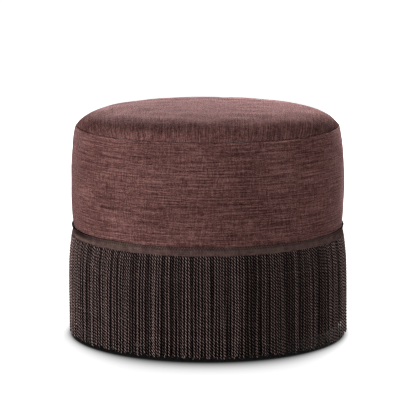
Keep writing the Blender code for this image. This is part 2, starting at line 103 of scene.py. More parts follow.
def new_material(name, **figures):
    """A material with one Principled shader; the figures stay on the shader's own sockets."""
    made = bpy.data.materials.new(name)
    made.use_nodes = True
    shader = made.node_tree.nodes["Principled BSDF"]
    for label, value in figures.items():
        shader.inputs[label.replace("_", " ")].default_value = value
    return made, made.node_tree, shader


def dress(tree, shader, colour, roughness, height, depth):
    """Gives a shader its colour and roughness, and relief from a height map, depth deep."""
    relief = add_node(tree, "ShaderNodeBump", {"Height": height, "Distance": depth})
    tree.links.new(colour, shader.inputs["Base Color"])
    tree.links.new(roughness, shader.inputs["Roughness"])
    tree.links.new(relief.outputs["Normal"], shader.inputs["Normal"])


def axes(tree, vector):
    """The X, Y and Z of a place or direction, each as a number."""
    return add_node(tree, "ShaderNodeSeparateXYZ", {0: vector}).outputs


def object_place(tree):
    """The place in the shared frame, in metres, for a pattern that runs through a piece."""
    return add_node(tree, "ShaderNodeTexCoord").outputs["Object"]


def placed(tree, group, **inputs):
    """A node group placed in a material with the material's own values; gives its outputs."""
    return add_node(tree, "ShaderNodeGroup", inputs, node_tree=group).outputs


def finish_solids(material, names):
    """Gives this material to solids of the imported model, which keep their own meshes."""
    for name in names:
        cad_nodes[name].material_slots[0].material = material


wood_grain, given, result = new_group("wood_grain", SURFACE, Place=ORIGIN, Pale=PLY_PALE, Dark=PLY_DARK)
fibres = speckle(wood_grain, given["Place"], (14.0, 700.0, 700.0), 3.0)
rings = speckle(wood_grain, given["Place"], (3.0, 60.0, 60.0), 2.0)
both = worked_out(wood_grain, "ADD", spread(wood_grain, fibres, 0.2, 0.8, 0.0, 0.45),
                  spread(wood_grain, rings, 0.3, 0.7, 0.0, 0.55))
wood_grain.links.new(mixed(wood_grain, both, given["Pale"], given["Dark"]), result["Color"])
wood_grain.links.new(fibres, result["Height"])
wood_grain.links.new(spread(wood_grain, fibres, 0.2, 0.8, 0.55, 0.8), result["Roughness"])

plywood, tree, shader = new_material("birch_plywood")
place = object_place(tree)
grain = placed(tree, wood_grain, Place=place, Pale=PLY_PALE, Dark=PLY_DARK)
layer = worked_out(tree, "MULTIPLY", axes(tree, place)["Z"], np.pi / PLY_THICKNESS)
layer = worked_out(tree, "SINE", layer)
facing = add_node(tree, "ShaderNodeNewGeometry").outputs["Normal"]
lying = worked_out(tree, "ABSOLUTE", axes(tree, facing)["Z"])
on_edge = spread(tree, lying, 0.3, 0.7, 1.0, 0.0)
dark_ply = worked_out(tree, "MULTIPLY", on_edge, spread(tree, layer, -0.3, 0.3, 0.0, 0.6))
dress(tree, shader, mixed(tree, dark_ply, grain["Color"], PLY_DARK),
      grain["Roughness"], grain["Height"], 0.0002)
finish_solids(plywood, ["base_board", "top_board"])

# Posts: six lengths of sawn pine between the boards, each held by a screw at both ends.
# Bare wood, its grain upright.
PINE_PALE = (0.66, 0.47, 0.26, 1.0)
PINE_DARK = (0.42, 0.24, 0.10, 1.0)

pine, tree, shader = new_material("sawn_pine")
upright = axes(tree, object_place(tree))
turned_grain = add_node(tree, "ShaderNodeCombineXYZ",
                        {"X": upright["Z"], "Y": upright["X"], "Z": upright["Y"]})
grain = placed(tree, wood_grain, Place=turned_grain.outputs[0], Pale=PINE_PALE, Dark=PINE_DARK)
dress(tree, shader, grain["Color"], grain["Roughness"], grain["Height"], 0.0004)
finish_solids(pine, [f"upright_{number}" for number in range(1, 7)])

# Side panel: thin brown fibreboard bent round boards and posts and stapled to them.
# Its two ends meet at the back; the foam wrap is glued to it.
FIBRE_PALE = (0.30, 0.18, 0.09, 1.0)
FIBRE_DARK = (0.19, 0.11, 0.055, 1.0)

fibreboard, tree, shader = new_material("brown_fibreboard")
flecks = speckle(tree, object_place(tree), (420.0, 420.0, 420.0), 3.0)
dress(tree, shader, mixed(tree, spread(tree, flecks, 0.3, 0.7), FIBRE_PALE, FIBRE_DARK),
      spread(tree, flecks, 0.3, 0.7, 0.6, 0.85), flecks, 0.0002)
finish_solids(fibreboard, ["side_panel"])

# Screws: zinc plated, countersunk through the boards into the posts, pan headed in the feet.
# The plating is a little cloudy.
ZINC_BRIGHT = (0.60, 0.60, 0.58, 1.0)
ZINC_CLOUDY = (0.42, 0.43, 0.44, 1.0)

zinc, tree, shader = new_material("zinc_plated_steel", Metallic=1.0)
cloud = speckle(tree, object_place(tree), (900.0, 900.0, 900.0), 2.0)
dress(tree, shader, mixed(tree, cloud, ZINC_BRIGHT, ZINC_CLOUDY),
      spread(tree, cloud, 0.3, 0.7, 0.25, 0.5), cloud, 0.00005)
board_screws = [f"{board}_board_screw_{i}" for board in ("base", "top") for i in range(1, 7)]
finish_solids(zinc, board_screws + [f"foot_screw_{i}" for i in range(1, 5)])

# Feet: four low black plastic discs, moulded with a recess for the screw head, and
# screwed through the dust cover into the base board. Fine moulded texture, scuffed below.
FOOT_BLACK = (0.018, 0.018, 0.019, 1.0)
FOOT_SCUFFED = (0.06, 0.058, 0.055, 1.0)

foot_plastic, tree, shader = new_material("black_foot_plastic")
place = object_place(tree)
pits = speckle(tree, place, (1500.0, 1500.0, 1500.0), 1.0)
scuffs = speckle(tree, place, (120.0, 320.0, 200.0), 4.0)
dress(tree, shader, mixed(tree, spread(tree, scuffs, 0.55, 0.75), FOOT_BLACK, FOOT_SCUFFED),
      spread(tree, scuffs, 0.4, 0.7, 0.42, 0.7), pits, 0.0001)
finish_solids(foot_plastic, [f"foot_{number}" for number in range(1, 5)])

# Seat foam: a firm block of cream polyurethane foam as wide as the frame, glued to the
# top board, with its upper edge trimmed round. The soft crown foam lies glued on top.
SEAM_HEIGHT = 0.37900
RIM_HEIGHT = 0.37915
RIM_RADIUS = 0.2352
EDGE_RISE = 0.0275
CROWN_RISE = 0.0056
DOME_SQUARENESS = 0.25
DOME_SOFTNESS = 1.685
FOAM_INSET = 0.0098
FOAM_BOTTOM = 0.3291
FOAM_SIDE = (0.3296, 0.3400, 0.3540)
FOAM_JOINT = 0.37935
CLEARANCE = 0.0003
PANEL_RADIUS = 0.2318
FOAM_CREAM = (0.80, 0.72, 0.50, 1.0)
FOAM_SHADE = (0.66, 0.57, 0.36, 1.0)


def even_line(radius, height, count):
    """The line through these points again, as count points evenly spaced along it."""
    steps = np.hypot(np.diff(radius), np.diff(height))
    along = np.concatenate([[0.0], np.cumsum(steps)])
    at = np.linspace(0.0, along[-1], count)
    return np.interp(at, along, radius), np.interp(at, along, height)


def crown_line(inset, count):
    """Half outline of the crown, moved in and down by an inset, from the middle outward.

    As a turn runs from 0 to 90 degrees, the radius is the rim's times the sine to the power
    DOME_SQUARENESS, and the height is the cosine to the power DOME_SOFTNESS times the edge's
    rise, plus the low parabola of the crown.
    """
    turn = np.linspace(0.0, 1.0, 4000) ** 4 * np.pi / 2
    share = np.sin(turn) ** DOME_SQUARENESS
    height = RIM_HEIGHT - inset + EDGE_RISE * np.cos(turn) ** DOME_SOFTNESS
    height = height + CROWN_RISE * (1 - share**2)
    return even_line((RIM_RADIUS - inset) * share, height, count)


def grid_corners(rows, columns, closed):
    """Row and column of every face's four corners on a grid that closes on itself sideways.

    A grid that is closed lengthways as well joins its last row to its first. Numbers run one
    past the last row and column there, so that a pattern can run on to its own end.
    """
    row = np.arange(rows if closed else rows - 1)[:, None, None] + np.array([0, 0, 1, 1])
    column = np.arange(columns)[None, :, None] + np.array([0, 1, 1, 0])
    row, column = np.broadcast_arrays(row, column)
    return row.reshape(-1, 4), column.reshape(-1, 4)


def end_fans(rows, columns):
    """Triangles that close a tube of rows by columns points at two points after the last."""
    here = np.arange(columns)
    beside = (here + 1) % columns
    first_end = np.full(columns, rows * columns)
    last = (rows - 1) * columns
    return np.concatenate([
        np.stack([beside, here, first_end], axis=1),
        np.stack([last + here, last + beside, first_end + 1], axis=1),
    ])


def out_from_axis(radius, angles, height):
    """Points this far out from the Z axis in these directions, and this far up."""
    places = (radius * np.cos(angles), radius * np.sin(angles), height)
    return np.stack(np.broadcast_arrays(*places), axis=-1)


def add_object(name, data):
    """An object in the scene, made of this mesh, camera or lamp."""
    made = bpy.data.objects.new(name, data)
    bpy.context.scene.collection.objects.link(made)
    return made


def new_piece(name, points, face_sets, cloth_sets=None):
    """A smooth mesh object on body root, from points and sets of faces of equal corner count.

    cloth_sets gives the place on the flat cloth of each corner of each face. If the volume
    under the faces comes out negative, every face is turned round, so that all look outward.
    """
    volume = 0.0
    for faces in face_sets:
        for second in range(1, faces.shape[1] - 1):
            a, b, c = (points[faces[:, i]] for i in (0, second, second + 1))
            volume += float(np.einsum("ij,ij->", a, np.cross(b, c)))
    turn = slice(None, None, -1 if volume < 0 else 1)
    mesh = bpy.data.meshes.new(name)
    counts = np.concatenate([np.full(len(faces), faces.shape[1]) for faces in face_sets])
    corners = np.concatenate([faces[:, turn].ravel() for faces in face_sets])
    mesh.vertices.add(len(points))
    mesh.vertices.foreach_set("co", np.ascontiguousarray(points, np.float32).ravel())
    mesh.loops.add(len(corners))
    mesh.loops.foreach_set("vertex_index", corners.astype(np.int32))
    mesh.polygons.add(len(counts))
    mesh.polygons.foreach_set("loop_start", (np.cumsum(counts) - counts).astype(np.int32))
    mesh.polygons.foreach_set("use_smooth", np.ones(len(counts), bool))
    if cloth_sets:
        cloth = np.concatenate([places[:, turn].reshape(-1, 2) for places in cloth_sets])
        layer = mesh.uv_layers.new(name="cloth")
        layer.uv.foreach_set("vector", cloth.astype(np.float32).ravel())
    mesh.update(calc_edges=True)
    mesh.validate()
    piece = add_object(name, mesh)
    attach(piece, "root")
    return piece


def turned_piece(name, radius, height, angles, cloth=None, poles=None):
    """A piece turned about the Z axis, from rows of radii and heights round its angles.

    Row i, column j stands radius[i, j] out in the direction angles[j] and height[i, j] up.
    poles are the heights of two points on the axis, before the first row and after the last;
    without them the last row joins the first. cloth is the flat cloth's place of each row and
    column, with one column more than the piece has, and one row more where the rows join.
    """
    points = out_from_axis(radius, angles, height)
    rows, columns = points.shape[:2]
    points = points.reshape(-1, 3)
    row, column = grid_corners(rows, columns, poles is None)
    faces = [(row % rows) * columns + column % columns]
    places = None if cloth is None else [cloth[row, column]]
    if poles is not None:
        points = np.concatenate([points, [(0.0, 0.0, poles[0]), (0.0, 0.0, poles[1])]])
        faces.append(end_fans(rows, columns))
        if cloth is not None:
            j = np.arange(columns)
            middle = np.zeros((columns, 2))
            near = np.stack([cloth[0, j + 1], cloth[0, j], middle], axis=1)
            far = np.stack([cloth[-1, j], cloth[-1, j + 1], middle], axis=1)
            places.append(np.concatenate([near, far]))
    return new_piece(name, points, faces, places)


def full_round(count):
    """This many even angles round the Z axis."""
    return np.linspace(0.0, 2 * np.pi, count, endpoint=False)


def soft_waves(angles, along, waves, reach, seed):
    """Uneven swelling between about -1 and 1, seeded, that closes on itself round the stool.

    The sum of cosines with whole numbers of waves round it, given as first, limit and step.
    Each has its own phase and weight, and slants as it goes along, by one wave in about
    reach metres.
    """
    draw = np.random.default_rng(seed)
    counts = np.arange(*waves)
    total = np.zeros(np.broadcast_shapes(np.shape(angles), np.shape(along)))
    weights = draw.uniform(0.4, 1.0, len(counts))
    for count, weight in zip(counts, weights):
        slant = draw.normal(0.0, 2 * np.pi / reach)
        total = total + weight * np.cos(count * angles + slant * along + draw.uniform(0, 6.283))
    return total / np.sqrt((weights**2).sum())


ROUND = full_round(240)
crown_radius, crown_height = crown_line(FOAM_INSET, 60)
shoulder = crown_height < FOAM_JOINT
block_radius = np.concatenate([
    np.linspace(0.02, PANEL_RADIUS - 0.003, 12), np.full(len(FOAM_SIDE), PANEL_RADIUS),
    crown_radius[shoulder][::-1], np.linspace(crown_radius[shoulder][0] - 0.004, 0.02, 12),
])
block_height = np.concatenate([
    np.full(12, FOAM_BOTTOM), FOAM_SIDE,
    crown_height[shoulder][::-1], np.full(12, FOAM_JOINT - CLEARANCE),
])
seat_block = turned_piece("seat_foam_block", block_radius[:, None], block_height[:, None], ROUND,
                          poles=(FOAM_BOTTOM, FOAM_JOINT - CLEARANCE))
foam, tree, shader = new_material("cream_foam")
place = object_place(tree)
cells = add_node(tree, "ShaderNodeTexVoronoi", {"Vector": place, "Scale": 900.0}).outputs["Distance"]
stains = speckle(tree, place, (25.0, 25.0, 25.0), 3.0)
dress(tree, shader, mixed(tree, spread(tree, stains, 0.35, 0.75), FOAM_CREAM, FOAM_SHADE),
      spread(tree, cells, 0.0, 0.6, 0.95, 0.8), cells, 0.0006)
seat_block.data.materials.append(foam)
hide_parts("seat_foam")

# Crown foam: a domed pad of softer foam, thickest in the middle and pared to nothing at
# the edge, which gives the seat its low crown. It is glued to the firm block below it.
pad = crown_height > FOAM_JOINT
pad_radius = np.concatenate([crown_radius[pad][1:], np.linspace(crown_radius[pad][-1], 0.02, 12)])
pad_height = np.concatenate([crown_height[pad][1:], np.full(12, FOAM_JOINT)])
crown_pad = turned_piece("crown_foam_pad", pad_radius[:, None], pad_height[:, None], ROUND,
                         poles=(crown_height[0], FOAM_JOINT))
crown_pad.data.materials.append(foam)
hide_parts("crown_foam")

# Wadding: a layer of white polyester fibre drawn over the foam, so that the cover slides
# on it and no foam edge prints through. It ends on the seam allowance of the cover.
UNDER_COVER = 0.0015
OVER_FOAM = 0.0095
FLEECE_END = 0.3731
FLEECE_LOFT = 0.0004
LOFT_RADIUS = 0.2280
FLEECE_WHITE = (0.86, 0.86, 0.84, 1.0)
FLEECE_SHADE = (0.70, 0.70, 0.69, 1.0)

outer_radius, outer_height = crown_line(UNDER_COVER, 70)
inner_radius, inner_height = crown_line(OVER_FOAM, 60)
above = outer_height > FLEECE_END
inside = inner_height > FLEECE_END + 0.0006
fleece_radius = np.concatenate([outer_radius[above][1:], inner_radius[inside][1:][::-1]])
fleece_height = np.concatenate([outer_height[above][1:], inner_height[inside][1:][::-1]])
tuft = FLEECE_LOFT * soft_waves(ROUND, fleece_radius[:, None], (9, 70, 5), 0.05, 3)
tuft = tuft * (fleece_radius[:, None] < LOFT_RADIUS)
fleece = turned_piece("seat_wadding_layer", fleece_radius[:, None],
                      fleece_height[:, None] - FLEECE_LOFT + tuft, ROUND,
                      poles=(outer_height[0], inner_height[0]))
wadding, tree, shader = new_material("white_wadding", Sheen_Weight=0.4)
strands = speckle(tree, object_place(tree), (260.0, 420.0, 340.0), 4.0)
dress(tree, shader, mixed(tree, strands, FLEECE_WHITE, FLEECE_SHADE),
      spread(tree, strands, 0.2, 0.8, 0.85, 1.0), strands, 0.0010)
fleece.data.materials.append(wadding)
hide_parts("seat_wadding")

# Side foam: a sheet of thin foam wrapped round the panel and glued, swelling towards the
# middle of the band, so that the cover stands full between the seam and the tape.
WALL_RADIUS = 0.2418
TAPE_TOP = 0.2008
TAPE_BOTTOM = 0.1853
BELLY = 0.0073
BELLY_SKEW = 1.3
BELLY_FULLNESS = 0.55
FRAME_BOTTOM = 0.0264
WRAP_TOP = 0.3691


def ramp(values, start, length):
    """0 up to the start, rising evenly to 1 over the length, and 1 beyond.

    With a length below nought it rises towards smaller values.
    """
    return np.clip((values - start) / length, 0.0, 1.0)


def band_radius(height):
    """Radius of the cover at a height: upright up to the tape's top, then a swollen band.

    Above the tape a straight lean in to the seam carries a swelling that follows the sine of
    half a turn, skewed upward and filled out by its power.
    """
    share = ramp(height, TAPE_TOP, SEAM_HEIGHT - TAPE_TOP)
    swell = np.clip(np.sin(np.pi * share**BELLY_SKEW), 0.0, 1.0) ** BELLY_FULLNESS
    return WALL_RADIUS + (RIM_RADIUS - WALL_RADIUS) * share + BELLY * swell


wrap_up = np.concatenate([
    [FRAME_BOTTOM], np.linspace(0.06, 0.19, 5), np.linspace(TAPE_TOP, WRAP_TOP, 30),
])
wrap_radius = np.concatenate([band_radius(wrap_up) - 0.0016, np.full(8, PANEL_RADIUS + CLEARANCE)])
wrap_height = np.concatenate([wrap_up, np.linspace(WRAP_TOP, FRAME_BOTTOM, 8)])
side_wrap = turned_piece("side_foam_wrap", wrap_radius[:, None], wrap_height[:, None], ROUND)
side_wrap.data.materials.append(foam)
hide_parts("side_foam")

# Side band of the cover: one strip of slubbed mauve chenille round the stool, its ends
# sewn together in an upright seam at the back. The upper edge rolls over into the seam
# with the top panel, and the lower edge is turned under the base board and stapled.
COVER_THICKNESS = 0.0012
LIP = 0.0015
SEAM_DEPTH = 0.0034
ALLOWANCE = 0.0070
HEM_BOTTOM = 0.0249
HEM_INNER_RADIUS = 0.1985
HEM_ROWS = 14
SHADE_CLOTH_TOP = 0.1975
BACK = np.pi / 2
BESIDE_SEAM = 0.035
MAUVE = (0.115, 0.051, 0.047, 1.0)
MAUVE_PALE = (0.275, 0.138, 0.126, 1.0)
MAUVE_DARK = (0.034, 0.012, 0.011, 1.0)
SHADE_CLOTH = (0.006, 0.004, 0.004, 1.0)
SHADE_CLOTH_PALE = (0.014, 0.010, 0.010, 1.0)
SIDE_SHEEN = 0.68
PILE_COLOUR = (1.0, 0.60, 0.59, 1.0)
# Slubs along a yarn, short picks, thin warp, grain of the pile and broad shading: how many
# waves a metre they have along and across the yarn, and how strong they are
SLUBS = (((13.0, 400.0, 1.0), 1.2), ((80.0, 400.0, 1.0), 0.8), ((330.0, 55.0, 1.0), 0.7),
         ((480.0, 560.0, 1.0), 1.5), ((14.0, 20.0, 1.0), 0.3))

# Columns start and end at the back seam, and crowd together there
beside_seam = np.linspace(0.0, BESIDE_SEAM, 12, endpoint=False)
BAND_ROUND = BACK + np.concatenate([
    beside_seam, np.linspace(BESIDE_SEAM, 2 * np.pi - BESIDE_SEAM, 460), 2 * np.pi - beside_seam[:0:-1],
])


def bell(values, middle, width):
    """1 at the middle, falling off to both sides: e to minus the square of widths away."""
    return np.exp(-(((values - middle) / width) ** 2))


def seam_rise(angles):
    """How far the top seam wanders up and down round the stool, in metres."""
    return 0.00025 * soft_waves(angles, 0.0, (5, 50, 4), 1.0, 11)


def puckers(angles, seed):
    """Small gathers that a line of stitches draws into the cloth beside it."""
    return soft_waves(angles, 0.0, (60, 170, 9), 1.0, seed)


def paint_points(piece, name, values):
    """Keeps one number for each point of a piece, which its material reads by this name."""
    attribute = piece.data.attributes.new(name, "FLOAT", "POINT")
    attribute.data.foreach_set("value", values.ravel().astype(np.float32))


def face_middles(piece):
    """X, y and z of the middle of each face of a piece."""
    middles = np.empty(len(piece.data.polygons) * 3, np.float32)
    piece.data.polygons.foreach_get("center", middles)
    return middles.reshape(-1, 3).T


def flat_strip(angles, down):
    """The flat cloth's place of each row and column of a strip that starts at the back seam."""
    across = np.append(angles - BACK, 2 * np.pi) * WALL_RADIUS
    return np.stack(np.broadcast_arrays(across[None, :], down[:, None]), axis=-1)


curl = np.linspace(0.0, np.pi / 2, 6)
lip_radius = float(band_radius(SEAM_HEIGHT - LIP))
lip_rows = (lip_radius - LIP + LIP * np.sin(curl), SEAM_HEIGHT - LIP + LIP * np.cos(curl))
wall_up = np.concatenate([
    np.linspace(SEAM_HEIGHT - LIP - 0.0006, TAPE_TOP + 0.001, 96),
    np.linspace(TAPE_TOP - 0.001, 0.040, 24), [0.0310, 0.0275, 0.0262],
])
wall_in = band_radius(wall_up)
hem_out = np.linspace(WALL_RADIUS - 0.0015, HEM_INNER_RADIUS, HEM_ROWS)
seam_in = RIM_RADIUS - SEAM_DEPTH
band_out = np.concatenate([
    [seam_in - ALLOWANCE, seam_in], lip_rows[0], wall_in, hem_out,
    hem_out[::-1], band_radius(wall_up[::-6]) - COVER_THICKNESS,
    [seam_in - 0.0006, seam_in - ALLOWANCE - 0.0008],
])
band_up = np.concatenate([
    [SEAM_HEIGHT - ALLOWANCE, SEAM_HEIGHT], lip_rows[1], wall_up, np.full(HEM_ROWS, HEM_BOTTOM),
    np.full(HEM_ROWS, HEM_BOTTOM + COVER_THICKNESS), np.maximum(wall_up[::-6], 0.0275),
    [SEAM_HEIGHT - 0.0016, SEAM_HEIGHT - ALLOWANCE - 0.0009],
])
outside_rows = 2 + len(curl) + len(wall_up)
rows = np.arange(len(band_out))
on_wall = ((rows >= 2) & (rows < outside_rows))[:, None]
below_seam = np.clip(SEAM_HEIGHT - band_up, 0.0, None)[:, None]
above_tape = ramp(band_up, TAPE_TOP, 0.02)[:, None]
from_back = (np.mod(BAND_ROUND - BACK + np.pi, 2 * np.pi) - np.pi) * WALL_RADIUS
swell = 0.00045 * soft_waves(BAND_ROUND, band_up[:, None], (2, 26, 3), 0.12, 21)
gather = 0.00028 * puckers(BAND_ROUND, 31) * np.exp(-below_seam / 0.009)
groove = 0.0003 * bell(np.abs(from_back), 0.0032, 0.0016) - 0.0015 * bell(from_back, 0.0, 0.0009)
proud = 0.0003 * bell(below_seam, LIP, 0.0018)
band_radii = band_out[:, None] + on_wall * (above_tape * (swell + gather + proud) + groove)
band_heights = band_up[:, None] + seam_rise(BAND_ROUND) * np.exp(-below_seam / 0.02)
on_hem = (rows >= outside_rows) & (rows < outside_rows + HEM_ROWS)
pleats = 0.0002 * (1 - soft_waves(BAND_ROUND, 0.0, (50, 130, 7), 1.0, 41))
pleats = np.clip(pleats, 0.0, 0.0006) * ramp(band_out, WALL_RADIUS, -0.03)[:, None]
band_heights = band_heights - on_hem[:, None] * pleats
down = np.concatenate([[0.0], np.cumsum(np.hypot(np.diff(band_out), np.diff(band_up)))])
down = np.append(down, down[-1] + 0.002)
side_band = turned_piece("cover_side_band", band_radii, band_heights, BAND_ROUND,
                         flat_strip(BAND_ROUND, down))
# A painted highlight along the ridge of the lip just below the seam, uneven round the stool
ridge_light = np.clip(0.30 + 0.25 * soft_waves(BAND_ROUND, 0.0, (7, 60, 5), 1.0, 17), 0.1, 1.0)
paint_points(side_band, "painted_light_and_shade", 1.0 + ridge_light * bell(below_seam, 0.0014, 0.0014))

# The chenille's own pattern: Cloth runs along the thick slubbed yarns in X and across them
# in Y. Where the slubs add up a yarn is pale and stands proud, and between them it is dark.
chenille, given, result = new_group("slubbed_chenille", SURFACE, Cloth=ORIGIN, Yarn=MAUVE,
                                    Raised=MAUVE_PALE, Sunken=MAUVE_DARK)
tone = 0.0
for waves, weight in SLUBS:
    part = speckle(chenille, given["Cloth"], waves, 1.0)
    part = worked_out(chenille, "MULTIPLY_ADD", part, weight, -0.5 * weight)
    tone = worked_out(chenille, "ADD", tone, part)
fuzz = speckle(chenille, given["Cloth"], (1300.0, 1500.0, 1.0), 1.0)
bright = spread(chenille, tone, 0.0, 0.5)
dim = spread(chenille, tone, 0.0, -0.5)
colour = mixed(chenille, bright, given["Yarn"], given["Raised"])
chenille.links.new(mixed(chenille, dim, colour, given["Sunken"]), result["Color"])
chenille.links.new(spread(chenille, tone, -0.6, 0.6), result["Height"])
chenille.links.new(spread(chenille, fuzz, 0.3, 0.7, 0.78, 0.95), result["Roughness"])

# A tone painted on the points of a piece, multiplied into the colour of its cloth or yarn
toned, given, result = new_group("painted_tone", ["Color"], Color=MAUVE, Tone=1.0)
grey = add_node(toned, "ShaderNodeCombineColor", {0: given["Tone"], 1: given["Tone"], 2: given["Tone"]})
toned.links.new(mixed(toned, 1.0, given["Color"], grey.outputs[0], "MULTIPLY"), result["Color"])


def cloth_place(tree):
    """The place on the flat cloth or yarn, in metres, for a pattern that follows it."""
    return add_node(tree, "ShaderNodeUVMap", uv_map="cloth").outputs["UV"]


def painted(tree, name):
    """The number that paint_points kept on the piece under this name."""
    return add_node(tree, "ShaderNodeAttribute", attribute_name=name).outputs["Fac"]


def chenille_look(name, sheen):
    """Mauve chenille with its painted light and shade; sheen says how far its pile stands up."""
    look, tree, shader = new_material(name, Sheen_Weight=sheen, Sheen_Roughness=0.22,
                                      Sheen_Tint=PILE_COLOUR, Specular_IOR_Level=0.0)
    woven = placed(tree, chenille, Cloth=cloth_place(tree), Yarn=MAUVE, Raised=MAUVE_PALE,
                   Sunken=MAUVE_DARK)
    sewn = placed(tree, toned, Color=woven["Color"], Tone=painted(tree, "painted_light_and_shade"))["Color"]
    dress(tree, shader, sewn, woven["Roughness"], woven["Height"], 0.0009)
    return look


side_band.data.materials.append(chenille_look("mauve_chenille_side", SIDE_SHEEN))
seam_look = chenille_look("mauve_chenille_seam", 0.0)
# Below the tape the band is a near-black cloth: painted shade, standing in for the dark behind the
# fringe's cords
shade_cloth_look, tree, shader = new_material("painted_shade_cloth", Specular_IOR_Level=0.0)
threads = speckle(tree, cloth_place(tree), (1500.0, 1500.0, 1.0), 1.0)
dress(tree, shader, mixed(tree, threads, SHADE_CLOTH, SHADE_CLOTH_PALE),
      spread(tree, threads, 0.3, 0.7, 0.85, 0.95), threads, 0.0002)
side_band.data.materials.append(shade_cloth_look)
side_band.data.materials.append(seam_look)
face_x, face_y, face_up = face_middles(side_band)
in_seam = np.hypot(face_x, face_y) < RIM_RADIUS - 0.3 * SEAM_DEPTH
which = np.where(face_up < SHADE_CLOTH_TOP, 1, np.where(in_seam, 2, 0))
side_band.data.polygons.foreach_set("material_index", which.astype(np.int32))
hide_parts("cover_side")

# Top panel of the cover: a round of the same chenille, its slubs running from front to
# back, drawn down over the edge of the seat and sewn to the side band. The seam is plain,
# with both allowances turned down inside.
DENT_DEPTH = 0.00055
GATHER_DEPTH = 0.00035
SHEEN_RINGS = 8
MIDDLE_SHEEN = 0.76
EDGE_SHEEN = 0.18
SHEEN_MIDDLE = (0.004, -0.014)
SHEEN_FADES = (0.172, 0.222)
TOP_ROUND = full_round(480)
top_radius, top_height = crown_line(0.0, 110)
kept = top_height > RIM_HEIGHT + LIP
edge_radius = float(np.interp(-RIM_HEIGHT - LIP, -top_height, top_radius))
roll = np.linspace(0.0, np.pi / 2, 6)
lining_radius, lining_height = crown_line(COVER_THICKNESS, 40)
lining = lining_height > RIM_HEIGHT + 0.0016
top_out = np.concatenate([
    top_radius[kept][1:], edge_radius - LIP + LIP * np.cos(roll), [seam_in, seam_in - ALLOWANCE],
    [seam_in - ALLOWANCE - 0.0008, seam_in - 0.0008], lining_radius[lining][1:][::-1],
])
top_up = np.concatenate([
    top_height[kept][1:], RIM_HEIGHT + LIP - LIP * np.sin(roll), [RIM_HEIGHT, RIM_HEIGHT - ALLOWANCE],
    [RIM_HEIGHT - ALLOWANCE + 0.0009, RIM_HEIGHT + 0.0012], lining_height[lining][1:][::-1],
])
outside = kept.sum() - 1 + len(roll)
rows = np.arange(len(top_out))
shown = (rows < outside)[:, None]
above_seam = np.clip(top_up - RIM_HEIGHT, 0.0, None)[:, None]
from_middle = top_out[:, None] / RIM_RADIUS
dents = DENT_DEPTH * soft_waves(TOP_ROUND, top_out[:, None], (1, 15, 2), 0.10, 51)
dents = dents * ramp(from_middle, 0.0, 0.5)
gather = GATHER_DEPTH * puckers(TOP_ROUND, 61) * np.exp(-above_seam / 0.008)
slope_out = ramp(from_middle, 0.75, 0.25)
top_radii = top_out[:, None] + shown * (dents * slope_out + gather)
top_heights = top_up[:, None] + shown * dents * (1 - slope_out)
top_heights = top_heights + seam_rise(TOP_ROUND) * np.exp(-above_seam / 0.02) * (from_middle > 0.8)
spread_out = np.cumsum(np.hypot(np.diff(np.append(0.0, top_out)), np.diff(np.append(top_up[0], top_up))))
turn = np.append(TOP_ROUND, 2 * np.pi)
top_cloth = spread_out[:, None, None] * np.stack([np.sin(turn), np.cos(turn)], axis=-1)[None]
top_panel = turned_piece("cover_top_panel", top_radii, top_heights, TOP_ROUND, top_cloth,
                         poles=(top_height[0], lining_height[0]))

# Painted shade darkens the right and left ends of the crown, painted light lightens its edge
# all round and more at the front, and the crown is painted lighter to the right and darker to
# the left; the middle is brushed to and fro at random, and beside the seam is painted shade
seam_shadow_strength = 0.58 + 0.20 * soft_waves(TOP_ROUND, 0.0, (7, 60, 5), 1.0, 17)
painted_light_and_shade = 1.0 - np.clip(seam_shadow_strength, 0.1, 0.95) * bell(above_seam, 0.0, 0.0010)
edge_painted_light = 1.0 + 0.17 * ramp(from_middle, 0.80, 0.12)
brushed_and_side_light = 1.0 + 0.10 * soft_waves(TOP_ROUND, top_out[:, None], (2, 14, 3), 0.05, 58)
brushed_and_side_light = brushed_and_side_light + 0.24 * np.cos(TOP_ROUND) * np.clip(from_middle * 1.6, 0.0, 1.0) * (from_middle < 0.93)
painted_light_and_shade = painted_light_and_shade * edge_painted_light * (1 + (brushed_and_side_light - 1) * ramp(from_middle, 0.0, 0.25))
right_end_shade = bell(TOP_ROUND, np.radians(340.0), 0.50) * ramp(from_middle, 0.84, 0.06)
left_end_shade = bell(TOP_ROUND, np.radians(206.0), 0.45) * ramp(from_middle, 0.80, 0.08)
front_edge_light = bell(TOP_ROUND, np.radians(284.0), 0.42) * bell(from_middle, 0.82, 0.11)
painted_light_and_shade = painted_light_and_shade * (1 - 0.50 * right_end_shade - 0.14 * left_end_shade + 0.27 * front_edge_light)
paint_points(top_panel, "painted_light_and_shade", np.append(painted_light_and_shade.ravel(), [1.0, 1.0]))
# The pile stands up in the middle and is drawn open over the edge, so its sheen fades outward
for ring, sheen in enumerate(np.linspace(MIDDLE_SHEEN, EDGE_SHEEN, SHEEN_RINGS)):
    top_panel.data.materials.append(chenille_look(f"mauve_chenille_top_{ring + 1}", float(sheen)))
top_panel.data.materials.append(seam_look)
face_x, face_y, face_up = face_middles(top_panel)
in_seam = (np.hypot(face_x, face_y) < RIM_RADIUS - 0.3 * SEAM_DEPTH) & (face_up < RIM_HEIGHT + 0.0012)
stands_out = np.hypot(face_x - SHEEN_MIDDLE[0], face_y - SHEEN_MIDDLE[1])
ring_of_face = np.digitize(stands_out, np.linspace(*SHEEN_FADES, SHEEN_RINGS - 1))
which = np.where(in_seam, SHEEN_RINGS, ring_of_face)
top_panel.data.polygons.foreach_set("material_index", which.astype(np.int32))
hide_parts("cover_top")

